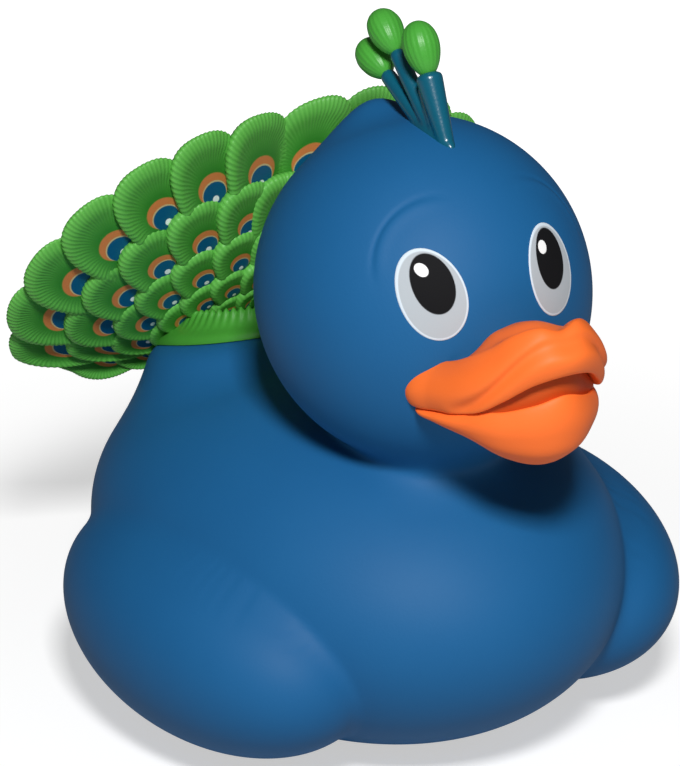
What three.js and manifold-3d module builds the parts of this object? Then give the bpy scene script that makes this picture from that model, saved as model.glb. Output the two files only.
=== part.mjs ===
// A bath duck of soft vinyl dressed up as a peacock. Four pieces:
//   duck_body       one moulding: flat-based body, wings, tail stub, head and bill
//   tail_fan        a moulded fan of overlapping feathers on a pad that sits on the tail stub
//   head_crest      three stalks with ribbed buds on one long foot, set into the crown
//   squeaker_valve  the whistle plug in the base
// Millimetres, +Z up. The duck looks along -Y.

import * as THREE from 'three';
import { mergeVertices } from 'three/addons/utils/BufferGeometryUtils.js';
import Module from 'manifold-3d';

const wasm = await Module();
wasm.setup();

// Driving dimensions

const seatGap = 0.3;

const torsoHalfHeight = 25.6;
const torso = { centre: [0, -4.2, torsoHalfHeight - 1], radii: [35, 45.9, torsoHalfHeight] };
const torsoTop = torso.centre[2] + torsoHalfHeight;
const head = { centre: [0, -20.3, torsoTop + 18.2], radii: [23.6, 23.3, 23.4] };
const headTop = head.centre[2] + head.radii[2];
const crown = { centre: [0, head.centre[1] + 12.8, headTop - 10.2], radii: [8.9, 8.9, 8.9] };
const wing = {
    centre: [24.3, -7.8, torso.centre[2] - 6.4],
    radii: [18.9, 32, 16.3],
    yaw: 2,
    pitch: -1.3,
    roll: -9.1,
};

const tailTopRise = 2.4;
const tailTopHeight = torsoTop + tailTopRise;
const tailTopSlope = -14;
const tailTopRounding = 3;
const tail = { centre: [0, 19, tailTopHeight - 12.5], radii: [18.9, 15.9, 19], pitch: -44.7 };

const crownBlend = 9;
const neckBlend = 1.4;
const wingBlend = 2;
const tailBlend = 7;
const baseRounding = 1.2;
const baseHeight = 0.8;

// The bill is drawn about an upright axis just inside the face. Radii and heights are given at angles from
// straight ahead, in degrees, and heights count from the tongue's root
const billAxis = head.centre[1] - head.radii[1] + 1.6;
const tongueRoot = head.centre[2] - 6.4;
const billRadius = [
    [0, 18], [30, 16], [60, 13.7], [80, 13.2], [97, 14], [108, 13], [125, 8.5], [150, 5.5], [180, 5],
];
const ridge = [[0, 10.4], [34, 8.7], [51, 7.4], [66, 5.9], [80, 4.6], [97, 3.2], [120, 2.6]];
const lipTop = [[0, 12.5], [12, 13], [25, 11.6], [40, 8.9], [65, 6], [85, 4.2], [97, 3.6], [120, 3]];
const lipBottom = [[0, 5.4], [13, 6], [30, 3], [45, 1.2], [60, -0.4], [90, -1.7], [120, -1.7]];
const lowerRim = [[0, 4.2], [15, 3.4], [30, 0.9], [45, -0.6], [60, -1.1], [90, -1.9], [120, -1.9]];
const lowerKeel = [[0, -8.4], [30, -7.6], [60, -6.2], [90, -4.2], [120, -3.4]];
const ridgeRoot = 7.5;
const ridgeShare = 0.36;
const valleySetback = 6.4;
const valleyDepth = 0.4;
const rimSetback = 3.2;
const rimWidth = 1.1;
const rollTopSetback = 0.7;
const lipEdgeSetback = 1.2;
const palateSetback = 3.5;
const palateTop = 5;
const lowerBillSetback = 1.2;
const tongueDepth = 1.6;
const tongueShare = 0.6;
const lowerRimWidth = 0.8;
const chinRoot = -6.5;
const chinShare = 0.62;
const chinRounding = 1.6;

const fanRoot = [30, tailTopHeight - 4.8];
const fanLean = -45.8;
const fanReach = 35.4;
const fanSideShortening = 9.9;
const fanShoulder = 10.7;
const fanBackCurl = 15.2;
const fanSideCurl = 10.9;
const fanLastAngle = 106;
const fanLastEasing = 8;
const fanLastShortening = 0.16;
const fanSheetBack = -0.9;
const fanSheetFront = { inner: 0.9, outer: 0.2, from: 0.55, to: 0.8 };
const fanSheetStart = 0.1;
const fanSheetEnd = 0.86;

const featherThickness = 1.5;
const featherBack = -0.5;
const featherDish = 1.1;
const featherTuck = 0.14;
const featherTipWidening = 0.25;
const featherRows = [
    { tip: 1.0, length: 0.44, halfWidth: 6.0, lift: 0.6, first: 7.5, step: 15.07, count: 8, middle: false },
    { tip: 0.77, length: 0.36, halfWidth: 4.9, lift: 1.3, first: 13.1, step: 17.5, count: 7, middle: true },
    { tip: 0.58, length: 0.28, halfWidth: 4.0, lift: 1.9, first: 19.2, step: 19.3, count: 6, middle: true },
    { tip: 0.42, length: 0.22, halfWidth: 3.1, lift: 2.4, first: 7.2, step: 20.1, count: 6, middle: false },
    { tip: 0.29, length: 0.17, halfWidth: 2.4, lift: 2.8, first: 13, step: 24, count: 5, middle: true },
];

const padCentre = [0, 22.8, tailTopHeight - 5];
const padRadii = [16.2, 13.4, 5.4];
const fanPeg = { place: 24, top: tailTopHeight - 2.6, diameter: 6, length: 11 };

// The crest is placed from the middle of the head's top
const crestFootCentre = [0, head.centre[1] - 3.5, headTop - 0.6];
const crestFootRadii = [1.9, 6.7, 2.4];
const crestFootPitch = 10;
const crestStalks = [
    { from: [-7.6, -0.8], to: [-2.7, 8], startRadius: 1.7, endRadius: 1.35, bud: [2.5, 3.9] },
    { from: [-4.1, -0.2], to: [5.7, 8.7], startRadius: 1.6, endRadius: 1.15, bud: [2.4, 3.5] },
    { from: [-0.7, 0.2], to: [8.2, 4.7], startRadius: 1.6, endRadius: 1.15, bud: [2.4, 3.5] },
];
const crestPeg = { place: head.centre[1] - 4.7, top: headTop + 0.6, diameter: 2.4, length: 7 };
const budRibs = 5;
const budRibDepth = 0.05;
const budTipWidening = 0.15;
const budSeat = 0.8;
const stalkEndSharpness = 2.2;

const valvePlace = 4;
const valveFlangeDiameter = 12;
const valveFlangeThickness = 1.2;
const valveNeckDiameter = 9;
const valveHeight = 5;
const valveBore = 2.4;

// Numbers of facets

const bodyColumns = 60;
const bodyRows = 36;
const billColumns = 30;
const billRows = 12;
const sheetColumns = 24;
const sheetRows = 4;
const featherColumns = [10, 8, 8, 6, 6];
const featherFacetRows = [6, 5, 5, 4, 4];
const padColumns = 32;
const padRows = 12;
const pegFacets = 24;
const footColumns = 24;
const footRows = 12;
const stalkColumns = 12;
const stalkRows = 8;
const budColumns = 20;
const budRows = 10;
const valveFacets = 32;

// Solids from closed surfaces

function solidOf(geometry) {
    const bare = geometry.clone();
    bare.deleteAttribute('normal');
    bare.deleteAttribute('uv');
    const merged = mergeVertices(bare, 1e-4);
    return new wasm.Manifold(new wasm.Mesh({
        numProp: 3,
        vertProperties: new Float32Array(merged.attributes.position.array),
        triVerts: new Uint32Array(merged.index.array),
    }));
}

function meshOf(solid, name, material) {
    const { vertProperties, triVerts } = solid.getMesh();
    const geometry = new THREE.BufferGeometry();
    geometry.setAttribute('position', new THREE.BufferAttribute(vertProperties, 3));
    geometry.setIndex(new THREE.BufferAttribute(triVerts, 1));
    geometry.computeVertexNormals();
    const mesh = new THREE.Mesh(geometry, material);
    mesh.name = name;
    return mesh;
}

// A closed surface: each point of a ball or a block, both two units wide about the origin, is carried to
// pointAt(point). The ball's poles point up and down, and the block's sides are divided along X and Z.
// Points are first rounded, so that both sides of a seam start from the same numbers
const pointsPerUnit = 1e9;

function drawn(geometry, pointAt) {
    const place = geometry.attributes.position;
    const point = new THREE.Vector3();
    for (let i = 0; i < place.count; i += 1) {
        point.fromBufferAttribute(place, i).multiplyScalar(pointsPerUnit).round().divideScalar(pointsPerUnit);
        place.setXYZ(i, ...pointAt(point).toArray());
    }
    return solidOf(geometry);
}

function ballSurface(columns, rows, pointAt) {
    return drawn(new THREE.SphereGeometry(1, columns, rows).rotateX(Math.PI / 2), pointAt);
}

function blockSurface(columns, rows, pointAt) {
    return drawn(new THREE.BoxGeometry(2, 2, 2, columns, 1, rows), pointAt);
}

const radians = THREE.MathUtils.degToRad;

function turnOf({ yaw = 0, pitch = 0, roll = 0 }) {
    const euler = new THREE.Euler(radians(pitch), radians(roll), radians(yaw), 'ZXY');
    return new THREE.Matrix4().makeRotationFromEuler(euler);
}

// The body as a smooth union of ellipsoids. Each is known by its distance at a point

function smoothMin(a, b, width) {
    const share = THREE.MathUtils.clamp(0.5 + 0.5 * (b - a) / width, 0, 1);
    return b * (1 - share) + a * share - width * share * (1 - share);
}

function smoothMax(a, b, width) {
    return -smoothMin(-a, -b, width);
}

function ellipsoid(shape) {
    const centre = new THREE.Vector3(...shape.centre);
    const radii = new THREE.Vector3(...shape.radii);
    const unturn = turnOf(shape).transpose();
    return (point) => {
        const scaled = point.clone().sub(centre).applyMatrix4(unturn).divide(radii);
        const first = scaled.length();
        const second = scaled.divide(radii).length();
        return first * (first - 1) / second;
    };
}

const torsoDistance = ellipsoid(torso);
const headDistance = ellipsoid(head);
const crownDistance = ellipsoid(crown);
const tailDistance = ellipsoid(tail);
const wingDistance = ellipsoid(wing);

const tailTopNormal = new THREE.Vector3(0, 0, 1)
    .applyAxisAngle(new THREE.Vector3(1, 0, 0), radians(tailTopSlope));
const tailTopPoint = new THREE.Vector3(0, 0, tailTopHeight);

// Both halves are alike, so a point is first folded to the +X side
function bodyDistance(place) {
    const point = new THREE.Vector3(Math.abs(place.x), place.y, place.z);
    const tailTop = point.clone().sub(tailTopPoint).dot(tailTopNormal);
    const stub = smoothMax(tailDistance(point), tailTop, tailTopRounding);
    const trunk = smoothMin(torsoDistance(point), stub, tailBlend);
    const winged = smoothMin(trunk, wingDistance(point), wingBlend);
    const skull = smoothMin(headDistance(point), crownDistance(point), crownBlend);
    return smoothMax(smoothMin(winged, skull, neckBlend), baseHeight - point.z, baseRounding);
}

// Every ray from a point in the neck leaves the body once, so the body is a ball drawn out along its rays
const neckCentre = new THREE.Vector3(0, -11, torsoTop - 2.7);
const farOut = 80;
const halvings = 30;

function bodySolid(clearance) {
    return ballSurface(bodyColumns, bodyRows, (direction) => {
        let inside = 0;
        let outside = farOut;
        for (let i = 0; i < halvings; i += 1) {
            const middle = (inside + outside) / 2;
            const point = neckCentre.clone().addScaledVector(direction, middle);
            if (bodyDistance(point) < clearance) inside = middle;
            else outside = middle;
        }
        return neckCentre.clone().addScaledVector(direction, inside);
    });
}

// The bill. Each half is a revolved profile whose radius and heights change with the angle

// A radius or height read off a cubic through its stations, alike on both sides
function alongStations(stations, angle) {
    const degrees = Math.min(Math.abs(THREE.MathUtils.radToDeg(angle)), stations.at(-1)[0]);
    const next = Math.max(stations.findIndex(([at]) => at >= degrees), 1);
    const slopeAt = (i) => {
        if (i === 0 || i === stations.length - 1) return 0;
        return (stations[i + 1][1] - stations[i - 1][1]) / (stations[i + 1][0] - stations[i - 1][0]);
    };
    const [atA, valueA] = stations[next - 1];
    const [atB, valueB] = stations[next];
    const width = atB - atA;
    const share = (degrees - atA) / width;
    const rest = 1 - share;
    return valueA * (1 + 2 * share) * rest ** 2 + valueB * share ** 2 * (3 - 2 * share)
        + (slopeAt(next - 1) * rest - slopeAt(next) * share) * width * share * rest;
}

function billHalf(profileAt) {
    return ballSurface(billColumns, billRows, (direction) => {
        const angle = Math.atan2(direction.x, -direction.y);
        const share = Math.acos(THREE.MathUtils.clamp(direction.z, -1, 1)) / Math.PI;
        const knots = profileAt(angle).map(([radius, height]) => new THREE.Vector3(radius, 0, height));
        const point = new THREE.CatmullRomCurve3(knots, false, 'centripetal').getPoint(share);
        return new THREE.Vector3(
            Math.sin(angle) * point.x,
            billAxis - Math.cos(angle) * point.x,
            point.z,
        );
    });
}

// Upper half, as [radius, height]: ridge, shallow valley, rim with two lobes, fat roll, palate. A point set
// back from the outside stays at a share of the radius where the bill is narrow
function upperProfile(angle) {
    const radius = alongStations(billRadius, angle);
    const crest = tongueRoot + alongStations(ridge, angle);
    const top = tongueRoot + alongStations(lipTop, angle);
    const low = tongueRoot + alongStations(lipBottom, angle);
    const setBack = (distance, leastShare) => Math.max(radius - distance, radius * leastShare);
    const downRoll = (share) => THREE.MathUtils.lerp(top, low, share);
    return [
        [0, tongueRoot + ridgeRoot],
        [radius * ridgeShare, crest],
        [setBack(valleySetback, 0.5), THREE.MathUtils.lerp(crest, top, 0.25) - valleyDepth],
        [setBack(rimSetback + rimWidth, 0.6), top - valleyDepth],
        [setBack(rimSetback, 0.7), top],
        [setBack(rimSetback - rimWidth, 0.8), downRoll(0.1)],
        [radius - rollTopSetback, downRoll(0.3)],
        [radius, downRoll(0.58)],
        [radius - rollTopSetback / 2, downRoll(0.86)],
        [radius - lipEdgeSetback, low],
        [setBack(palateSetback, 0.4), low + lipEdgeSetback],
        [0, tongueRoot + palateTop],
    ];
}

// Lower half: hollow, rounded rim, full side and keel
function lowerProfile(angle) {
    const radius = alongStations(billRadius, angle) - lowerBillSetback;
    const rim = tongueRoot + alongStations(lowerRim, angle);
    const keel = tongueRoot + alongStations(lowerKeel, angle);
    const setBack = (distance, leastShare) => Math.max(radius - distance, radius * leastShare);
    return [
        [0, tongueRoot],
        [radius * tongueShare, rim - tongueDepth],
        [setBack(lowerRimWidth * 2, 0.7), rim - lowerRimWidth / 2],
        [setBack(lowerRimWidth, 0.85), rim],
        [radius, rim - lowerRimWidth * 1.5],
        [radius, THREE.MathUtils.lerp(rim, keel, 0.45)],
        [setBack(chinRounding, 0.75), keel + chinRounding],
        [radius * chinShare, keel],
        [0, tongueRoot + chinRoot],
    ];
}

// The fan. Its front is a curved sheet, known by an angle from straight up (+ to the duck's right) and a
// reach from root to rim

function fanFront(angleDegrees, reach) {
    const angle = radians(angleDegrees);
    const side = 1 - Math.cos(angle);
    const past = THREE.MathUtils.smoothstep(
        Math.abs(angleDegrees),
        fanLastAngle - fanLastEasing,
        fanLastAngle + fanLastEasing,
    );
    const radius = (fanReach - fanSideShortening * side + fanShoulder * Math.sin(angle) ** 2)
        * (1 - fanLastShortening * past);
    const point = new THREE.Vector3(
        -reach * radius * Math.sin(angle),
        (fanBackCurl - fanSideCurl * side) * reach ** 2,
        reach * radius * Math.cos(angle),
    );
    point.applyAxisAngle(new THREE.Vector3(1, 0, 0), radians(-fanLean));
    return point.add(new THREE.Vector3(0, ...fanRoot));
}

function fanPoint(angle, reach, lift) {
    const smallAngle = 1;
    const smallReach = 0.01;
    const across = fanFront(angle + smallAngle, reach).sub(fanFront(angle - smallAngle, reach));
    const along = fanFront(angle, reach + smallReach).sub(fanFront(angle, reach - smallReach));
    const normal = along.cross(across).normalize();
    return fanFront(angle, reach).addScaledVector(normal, lift);
}

// One feather: a dished oval that follows the sheet, wider toward its tip. Its inner side tucks down
// under the next feather toward the middle, and its outer side lies over the next one outward
function feather(row, angle, columns, rows) {
    const middleReach = row.tip - row.length / 2;
    const widthAngle = THREE.MathUtils.radToDeg(row.halfWidth / (fanReach * middleReach));
    const outward = Math.sign(angle);
    return ballSurface(columns, rows, (direction) => {
        const along = direction.z;
        const across = -direction.x;
        const rim = across ** 2 + along ** 2;
        const belly = Math.sign(direction.y) * Math.sqrt(Math.abs(direction.y));
        const reach = middleReach + along * row.length / 2;
        const spread = across * (1 + featherTipWidening * along) * middleReach / reach;
        const face = row.lift + featherDish * (rim - 0.5) + featherTuck * row.halfWidth * across * outward;
        const lift = THREE.MathUtils.lerp(featherBack, face + featherThickness / 2, (1 - belly) / 2);
        return fanPoint(angle + widthAngle * spread, reach, lift);
    });
}

function fanSheet() {
    const outer = featherRows[0];
    const lastAngle = outer.first + (outer.count - 1) * outer.step;
    return blockSurface(sheetColumns, sheetRows, (point) => {
        const reach = THREE.MathUtils.lerp(fanSheetStart, fanSheetEnd, (point.z + 1) / 2);
        const share = THREE.MathUtils.smoothstep(reach, fanSheetFront.from, fanSheetFront.to);
        const front = THREE.MathUtils.lerp(fanSheetFront.inner, fanSheetFront.outer, share);
        const lift = THREE.MathUtils.lerp(front, fanSheetBack, (point.y + 1) / 2);
        return fanPoint(-point.x * lastAngle, reach, lift);
    });
}

// One moulding is solid all through, so a sliver of air shut in between its feathers is filled
function filled(solid) {
    return wasm.Manifold.compose(solid.decompose().filter((shell) => shell.volume() > 0));
}

function fanSolid(bodyWithGap) {
    const pieces = [];
    featherRows.forEach((row, level) => {
        const facets = [featherColumns[level], featherFacetRows[level]];
        for (let i = row.count - 1; i >= 0; i -= 1) {
            const angle = row.first + i * row.step;
            pieces.push(feather(row, angle, ...facets), feather(row, -angle, ...facets));
        }
        if (row.middle) pieces.push(feather(row, 0, ...facets));
    });
    const pad = ballSurface(padColumns, padRows, (direction) => direction.clone()
        .multiply(new THREE.Vector3(...padRadii))
        .applyAxisAngle(new THREE.Vector3(1, 0, 0), radians(tailTopSlope))
        .add(new THREE.Vector3(...padCentre)));
    let fan = pad.add(fanSheet());
    for (const piece of pieces) fan = fan.add(piece);
    return filled(fan).subtract(bodyWithGap).add(peg(fanPeg, 0));
}

// Pegs point straight down and stand in sockets that are larger by the seat gap all round

function peg({ place, top, diameter, length }, clearance) {
    const radius = diameter / 2 + clearance;
    const shaft = new THREE.CylinderGeometry(radius, radius, length + clearance, pegFacets);
    shaft.rotateX(Math.PI / 2);
    shaft.translate(0, place, top - (length + clearance) / 2);
    return solidOf(shaft);
}

// The crest. Each stalk tapers from the foot to its bud, all in the plane of symmetry

const headTopPoint = new THREE.Vector3(0, head.centre[1], headTop);

function crestStalk({ from, to, startRadius, endRadius, bud }) {
    const start = new THREE.Vector3(0, ...from).add(headTopPoint);
    const end = new THREE.Vector3(0, ...to).add(headTopPoint);
    const along = end.clone().sub(start).normalize();
    const turn = new THREE.Quaternion().setFromUnitVectors(new THREE.Vector3(0, 0, 1), along);
    const stalk = ballSurface(stalkColumns, stalkRows, (direction) => {
        const share = (direction.z + 1) / 2;
        const fullness = Math.min(1, stalkEndSharpness * Math.hypot(direction.x, direction.y));
        const around = new THREE.Vector3(direction.x, direction.y, 0).normalize();
        const radius = fullness * THREE.MathUtils.lerp(startRadius, endRadius, share);
        around.multiplyScalar(radius).applyQuaternion(turn);
        return start.clone().lerp(end, share).add(around);
    });
    const [budRadius, budHalfLength] = bud;
    const budCentre = end.clone().addScaledVector(along, budHalfLength * budSeat);
    const budSolid = ballSurface(budColumns, budRows, (direction) => {
        const rib = 1 + budRibDepth * Math.cos(budRibs * Math.atan2(direction.y, direction.x));
        const width = budRadius * rib * (1 + budTipWidening * direction.z);
        const local = new THREE.Vector3(width * direction.x, width * direction.y, budHalfLength * direction.z);
        return local.applyQuaternion(turn).add(budCentre);
    });
    return stalk.add(budSolid);
}

function crestSolid(bodyWithGap) {
    const foot = ballSurface(footColumns, footRows, (direction) => direction.clone()
        .multiply(new THREE.Vector3(...crestFootRadii))
        .applyAxisAngle(new THREE.Vector3(1, 0, 0), radians(crestFootPitch))
        .add(new THREE.Vector3(...crestFootCentre)));
    let crest = foot;
    for (const stalk of crestStalks) crest = crest.add(crestStalk(stalk));
    return crest.subtract(bodyWithGap).add(peg(crestPeg, 0));
}

// The squeaker valve: a flanged plug with a whistle bore, revolved, and the stepped socket around it

function valveSolid() {
    const base = baseHeight + seatGap;
    const profile = [
        [valveBore / 2, base],
        [valveFlangeDiameter / 2, base],
        [valveFlangeDiameter / 2, base + valveFlangeThickness],
        [valveNeckDiameter / 2, base + valveFlangeThickness],
        [valveNeckDiameter / 2, base + valveHeight],
        [valveBore / 2, base + valveHeight],
        [valveBore / 2, base],
    ].map(([radius, height]) => new THREE.Vector2(radius, height));
    const turned = new THREE.LatheGeometry(profile, valveFacets);
    turned.rotateX(Math.PI / 2);
    turned.translate(0, valvePlace, 0);
    return solidOf(turned);
}

function valveSocket() {
    const step = (diameter, height) => {
        const radius = diameter / 2 + seatGap;
        const shaft = new THREE.CylinderGeometry(radius, radius, height + seatGap * 2, valveFacets);
        shaft.rotateX(Math.PI / 2);
        shaft.translate(0, valvePlace, baseHeight + height / 2);
        return solidOf(shaft);
    };
    return step(valveFlangeDiameter, valveFlangeThickness + seatGap)
        .add(step(valveNeckDiameter, valveHeight + seatGap));
}

const material = (color, roughness) => new THREE.MeshStandardMaterial({ color, roughness, metalness: 0 });

const bodyWithGap = bodySolid(seatGap);
const duckBody = bodySolid(0)
    .add(billHalf(upperProfile))
    .add(billHalf(lowerProfile))
    .subtract(peg(fanPeg, seatGap))
    .subtract(peg(crestPeg, seatGap))
    .subtract(valveSocket());

const duck = new THREE.Group();
duck.add(meshOf(duckBody, 'duck_body', material(0x24598a, 0.5)));
duck.add(meshOf(fanSolid(bodyWithGap), 'tail_fan', material(0x3d7935, 0.45)));
duck.add(meshOf(crestSolid(bodyWithGap), 'head_crest', material(0x0f5f82, 0.25)));
duck.add(meshOf(valveSolid(), 'squeaker_valve', material(0xe8e8e4, 0.4)));

// The base is cut flat just above the lowest point of the torso, and the origin is on the ground under
// the middle of the outer box
const box = new THREE.Box3().setFromObject(duck, true);
duck.position.set(0, -(box.min.y + box.max.y) / 2, -baseHeight);

export default duck;
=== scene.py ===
# %% [markdown]
# # A bath duck dressed as a peacock
# The toy is one soft vinyl moulding with a flat base, a round head and an orange bill. A fan of moulded
# feathers sits on its tail and a little crest of three buds stands on its head. Each surface below is a
# formula worked out for a whole grid of points at once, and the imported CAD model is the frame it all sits
# in.

import math

import bpy
import numpy as np
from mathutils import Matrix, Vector


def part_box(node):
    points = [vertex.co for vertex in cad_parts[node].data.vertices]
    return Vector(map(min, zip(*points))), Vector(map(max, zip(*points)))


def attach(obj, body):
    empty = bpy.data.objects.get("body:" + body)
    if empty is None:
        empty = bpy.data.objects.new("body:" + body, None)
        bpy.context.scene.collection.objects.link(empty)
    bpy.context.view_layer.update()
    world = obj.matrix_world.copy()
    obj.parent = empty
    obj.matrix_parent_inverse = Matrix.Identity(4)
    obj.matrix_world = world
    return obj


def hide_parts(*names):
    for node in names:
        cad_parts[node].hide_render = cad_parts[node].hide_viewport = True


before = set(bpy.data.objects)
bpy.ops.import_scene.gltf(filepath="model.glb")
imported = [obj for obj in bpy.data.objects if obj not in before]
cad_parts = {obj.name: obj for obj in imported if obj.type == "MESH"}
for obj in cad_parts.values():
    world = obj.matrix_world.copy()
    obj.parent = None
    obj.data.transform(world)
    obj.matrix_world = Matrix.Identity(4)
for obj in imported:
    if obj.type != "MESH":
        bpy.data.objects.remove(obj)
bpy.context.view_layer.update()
print("CAD nodes:", sorted(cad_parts))

# %% [markdown]
# ## One set of drawing coordinates
# The duck was drawn in millimetres about the middle of its torso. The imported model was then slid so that
# its outer box is centred. The squeaker valve was drawn 4 mm behind the middle and 0.3 mm above the base,
# so its box in the frame tells how far everything was slid.

# %% From the drawing to the frame
MM = 0.001
VALVE_Y = 4.0
BASE_Z = 0.8
SEAT_GAP = 0.3
valve_low, valve_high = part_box("squeaker_valve")
slide = np.array([
    0.0,
    (valve_low.y + valve_high.y) / 2 / MM - VALVE_Y,
    valve_low.z / MM - BASE_Z - SEAT_GAP,
])


def to_frame(points):
    """Drawing millimetres to the frame's metres: add the slide, then divide by a thousand."""
    return (np.asarray(points, float) + slide) * MM


print("slide in mm:", np.round(slide, 2))

# %% [markdown]
# ## A skin from a grid of points
# Most pieces here are closed balls drawn out of shape. Rows run from one pole to the other and columns run
# round, so the faces can be numbered without looking at the shape. The signed volume tells whether a ball
# is inside out, and then its columns are taken in the other order.

# %% Closed skins
def ball_faces(rows, columns):
    """Faces of one ball: a cap of triangles, rings of quads, a cap. Vertex 0 and the last are the poles."""
    ring = 1 + np.arange(rows - 2)[:, None] * columns + np.arange(columns)
    after = np.roll(ring, -1, axis=1)
    quads = np.stack([ring[:-1], after[:-1], after[1:], ring[1:]], -1).reshape(-1, 4)
    last = 1 + (rows - 2) * columns
    top = np.stack([np.zeros(columns, int), after[0], ring[0]], -1)
    bottom = np.stack([np.full(columns, last), ring[-1], after[-1]], -1)
    return quads, np.concatenate([top, bottom])


def signed_volume(vertices, quads, triangles):
    """Sixth part of the sum of a . (b x c) over all triangles: positive where the faces look outward."""
    corners = np.concatenate([triangles, quads[:, [0, 1, 2]], quads[:, [0, 2, 3]]])
    a, b, c = (vertices[corners[:, i]] for i in range(3))
    return np.einsum("ij,ij->i", a, np.cross(b, c)).sum() / 6


def skin(name, grids, material, pattern=None):
    """grids is (balls, rows, columns, 3) in drawing mm. pattern is (balls, rows, columns, 3), kept as the
    attribute "pattern" for the material. The first and last row of each ball is one point."""
    balls, rows, columns = grids.shape[:3]
    quads, triangles = ball_faces(rows, columns)

    def flat(grid):
        """All points of a ball in the order that ball_faces numbers them, each pole once."""
        return np.concatenate([grid[:1, 0], grid[1:-1].reshape(-1, grid.shape[-1]), grid[-1:, 0]])

    points, faces, count = [], [], 2 + (rows - 2) * columns
    for i, grid in enumerate(grids if pattern is None else np.concatenate([grids, pattern], -1)):
        inside_out = signed_volume(flat(grid)[:, :3], quads, triangles) < 0
        points.append(flat(grid[:, ::-1] if inside_out else grid))
        faces += (quads + i * count).tolist() + (triangles + i * count).tolist()
    points = np.concatenate(points)
    mesh = bpy.data.meshes.new(name)
    mesh.from_pydata(to_frame(points[:, :3]), [], faces)
    if pattern is not None:
        layer = mesh.attributes.new("pattern", "FLOAT_VECTOR", "POINT")
        layer.data.foreach_set("vector", points[:, 3:].ravel())
    mesh.shade_smooth()
    mesh.materials.append(material)
    piece = bpy.data.objects.new(name, mesh)
    bpy.context.scene.collection.objects.link(piece)
    print(f"{name}: {balls} balls, {len(mesh.vertices)} points, {sum(len(f) - 2 for f in faces)} triangles")
    return piece


def settle(piece, slot, *nodes):
    """The piece rides on the one body and stands for the CAD nodes, which it hides. The slot is not used.
    """
    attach(piece, "root")
    if nodes:
        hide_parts(*nodes)
    return piece


def smoothstep(low, high, x):
    """0 below low, 1 above high, and 3s^2 - 2s^3 between."""
    s = np.clip((x - low) / (high - low), 0, 1)
    return s * s * (3 - 2 * s)


# %% [markdown]
# ## Finishes
# Soft vinyl is never one flat colour: the pigment drifts a little, the mould leaves a fine grain, and
# paint has soft edges. Nodes could be wired by hand for each material. Functions wire them alike, so two
# finishes differ only in their numbers.

# %% Small helpers for nodes
def linear(red, green, blue):
    """A colour of 0 to 255 as a screen shows it, to the linear values that a shader works in."""
    c = np.array([red, green, blue]) / 255
    c = np.where(c <= 0.04045, c / 12.92, ((c + 0.055) / 1.055) ** 2.4)
    return (*c.tolist(), 1.0)


def plug(tree, value, socket):
    """Joins an output to the socket, or writes a plain value into it."""
    if isinstance(value, bpy.types.NodeSocket):
        tree.links.new(value, socket)
    else:
        socket.default_value = value


def put(tree, kind, inputs=None, **settings):
    """A node of that kind, with settings and with its inputs plugged in by name or number."""
    node = tree.nodes.new(kind)
    for key, value in settings.items():
        setattr(node, key, value)
    for key, value in (inputs or {}).items():
        plug(tree, value, node.inputs[key])
    return node


def calc(tree, operation, *values):
    """The output of a Math node."""
    return put(tree, "ShaderNodeMath", dict(enumerate(values)), operation=operation).outputs[0]


def blend(tree, share, first, second):
    """The first colour where share is 0 and the second where it is 1."""
    node = put(tree, "ShaderNodeMix", data_type="RGBA")
    for socket, value in zip((node.inputs[0], node.inputs[6], node.inputs[7]), (share, first, second)):
        plug(tree, value, socket)
    return node.outputs[2]


def group_tree(name, inputs, outputs):
    """An empty node group with named sockets. inputs gives (name, type, default)."""
    tree = bpy.data.node_groups.new(name, "ShaderNodeTree")
    for label, kind, value in inputs:
        socket = tree.interface.new_socket(label, in_out="INPUT", socket_type="NodeSocket" + kind)
        if value is not None:
            socket.default_value = value
    for label, kind in outputs:
        tree.interface.new_socket(label, in_out="OUTPUT", socket_type="NodeSocket" + kind)
    return tree, tree.nodes.new("NodeGroupInput").outputs, tree.nodes.new("NodeGroupOutput").inputs


def use(tree, group, inputs):
    """Places a node group with its own values."""
    node = put(tree, "ShaderNodeGroup", node_tree=group)
    for key, value in inputs.items():
        plug(tree, value, node.inputs[key])
    return node.outputs


# %% [markdown]
# A node group is a small recipe with named sockets. "pigment drift" mixes two near colours by a cloudy
# noise, "moulded grain" gives a fine height for the bump and a slow drift of roughness, and "painted disc"
# is a soft-edged oval for anything that was printed or sprayed through a mask.

# %% Node groups: pigment, grain and painted disc
pigment, into, out = group_tree(
    "pigment drift",
    [("Place", "Vector", None), ("Tone", "Color", None), ("Deep", "Color", None), ("Scale", "Float", 60.0),
     ("Amount", "Float", 0.5)],
    [("Color", "Color")],
)
cloud = put(pigment, "ShaderNodeTexNoise", {"Vector": into["Place"], "Scale": into["Scale"], "Detail": 4.0})
share = calc(pigment, "MULTIPLY", cloud.outputs[0], into["Amount"])
plug(pigment, blend(pigment, share, into["Tone"], into["Deep"]), out["Color"])

grain, into, out = group_tree(
    "moulded grain",
    [("Place", "Vector", None), ("Scale", "Float", 2500.0), ("Smooth", "Float", 0.45),
     ("Rough", "Float", 0.6)],
    [("Height", "Float"), ("Roughness", "Float")],
)
fine = put(grain, "ShaderNodeTexNoise", {"Vector": into["Place"], "Scale": into["Scale"], "Detail": 3.0})
wide = put(grain, "ShaderNodeTexNoise", {"Vector": into["Place"], "Scale": 45.0, "Detail": 3.0})
gap = calc(grain, "SUBTRACT", into["Rough"], into["Smooth"])
plug(grain, fine.outputs[0], out["Height"])
plug(grain, calc(grain, "MULTIPLY_ADD", wide.outputs[0], gap, into["Smooth"]), out["Roughness"])

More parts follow.
